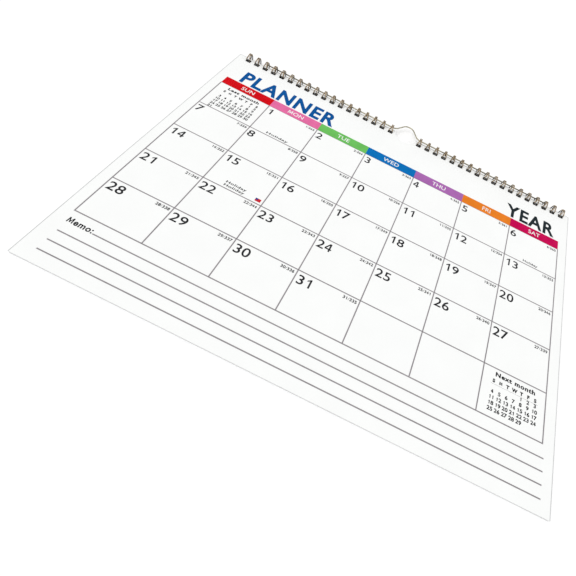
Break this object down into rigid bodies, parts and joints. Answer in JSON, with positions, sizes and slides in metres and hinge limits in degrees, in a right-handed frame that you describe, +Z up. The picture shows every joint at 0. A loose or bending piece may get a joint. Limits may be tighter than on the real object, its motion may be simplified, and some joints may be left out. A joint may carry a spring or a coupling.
{
  "type": "wall calendar",
  "caption": "Wire-bound monthly wall calendar: month sheets on a back card, two combs of twin wire loops, and a wire hanger with a hump over a thumb notch.",
  "frame": {"origin": "middle of the calendar's box, at the lowest point of the wire loops, as it lies on its back", "axes": "+X along the binding to the reader's right, +Y across the page towards the binding, +Z up out of the printed face"},
  "size_m": [0.335, 0.2702, 0.0078],
  "materials": {
    "card": "matte",
    "paper": "matte",
    "loop_wire": "satin",
    "hanger_wire": "satin",
    "rule_ink": "matte",
    "weekday_band_1_ink": "satin",
    "weekday_band_2_ink": "satin",
    "weekday_band_3_ink": "satin",
    "weekday_band_4_ink": "satin",
    "weekday_band_5_ink": "satin",
    "weekday_band_6_ink": "satin",
    "weekday_band_7_ink": "satin"
  },
  "bodies": {
    "binding": {"back_card": "card", "left_wire_comb": "loop_wire", "right_wire_comb": "loop_wire"},
    "sheets": {"month_sheets": "paper", "day_grid": "rule_ink", "weekday_band_1": "weekday_band_1_ink", "weekday_band_2": "weekday_band_2_ink", "weekday_band_3": "weekday_band_3_ink", "weekday_band_4": "weekday_band_4_ink", "weekday_band_5": "weekday_band_5_ink", "weekday_band_6": "weekday_band_6_ink", "weekday_band_7": "weekday_band_7_ink", "note_rule_1": "rule_ink", "note_rule_2": "rule_ink", "note_rule_3": "rule_ink", "note_rule_4": "rule_ink"},
    "hanger": {"hanger": "hanger_wire"}
  },
  "joints": [
    {"name": "sheets_turn", "type": "hinge", "parent": "binding", "child": "sheets", "pos_m": [0, 0.12111, 0.0041], "axis": [-1, 0, 0], "range_deg": [0, 180]},
    {"name": "hanger_swing", "type": "hinge", "parent": "binding", "child": "hanger", "pos_m": [0, 0.12329, 0.00423], "axis": [-1, 0, 0], "range_deg": [-180, 100]}
  ]
}
